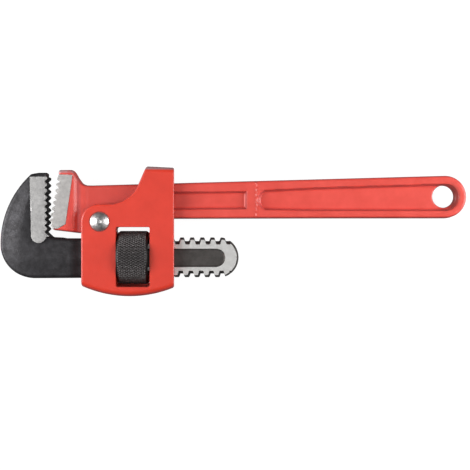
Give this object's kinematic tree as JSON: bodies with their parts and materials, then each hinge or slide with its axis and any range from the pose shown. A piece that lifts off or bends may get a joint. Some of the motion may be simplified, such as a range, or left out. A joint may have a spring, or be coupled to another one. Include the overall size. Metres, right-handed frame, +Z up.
{
  "type": "pipe wrench",
  "caption": "Stillson-pattern pipe wrench: forged handle with a toothed heel jaw, a hook jaw on a threaded shank, a knurled nut in a pivoting frame, and a hanging hole.",
  "frame": {"origin": "middle of the underside of the bounding box, the wrench lying flat with the nut's rim lowest", "axes": "+X along the handle from the jaws to the hanging hole, +Y towards the back of the wrench (the side the heel jaw's tip points to), +Z up through the thickness"},
  "size_m": [0.2513, 0.0694, 0.0286],
  "materials": {
    "red_paint": "satin red enamel over a forging, slightly uneven",
    "frame_red_paint": "satin red enamel over smooth folded steel",
    "ground_steel": "ground matt, hardened",
    "black_forging": "black oxide over a forging, with ground bright flats on the tooth pad and the shank",
    "nut_black": "black oxide, fine diamond knurl",
    "bright_steel": "bright zinc plate",
    "spring_steel": "blued spring steel",
    "rivet_steel": "plain steel"
  },
  "bodies": {
    "handle_body": {"handle": "red_paint", "heel_jaw": "ground_steel", "back_spring": "spring_steel", "back_spring_rivet": "rivet_steel", "front_spring": "spring_steel", "front_spring_rivet": "rivet_steel"},
    "frame_body": {"frame": "frame_red_paint", "frame_pin": "bright_steel"},
    "jaw_body": {"hook_jaw": "black_forging"},
    "nut_body": {"adjusting_nut": "nut_black"}
  },
  "joints": [
    {"name": "frame_pivot", "type": "hinge", "parent": "handle_body", "child": "frame_body", "pos_m": [-0.0711, 0.00512, 0.0143], "axis": [0, 0, 1], "range_deg": [-5, 4], "stiffness_Nm_per_rad": 5, "deforming": ["back_spring", "front_spring"]},
    {"name": "nut_spin", "type": "hinge", "parent": "frame_body", "child": "nut_body", "pos_m": [-0.0538, -0.01408, 0.0143], "axis": [1, 0, 0], "range_deg": [-66, 2620]},
    {"name": "jaw_slide", "type": "slide", "parent": "frame_body", "child": "jaw_body", "axis": [-1, 0, 0], "range_m": [-0.001, 0.04]}
  ],
  "couplings": [
    {"joint": "nut_spin", "follows": "jaw_slide", "rad_per_m": 1142.4}
  ]
}
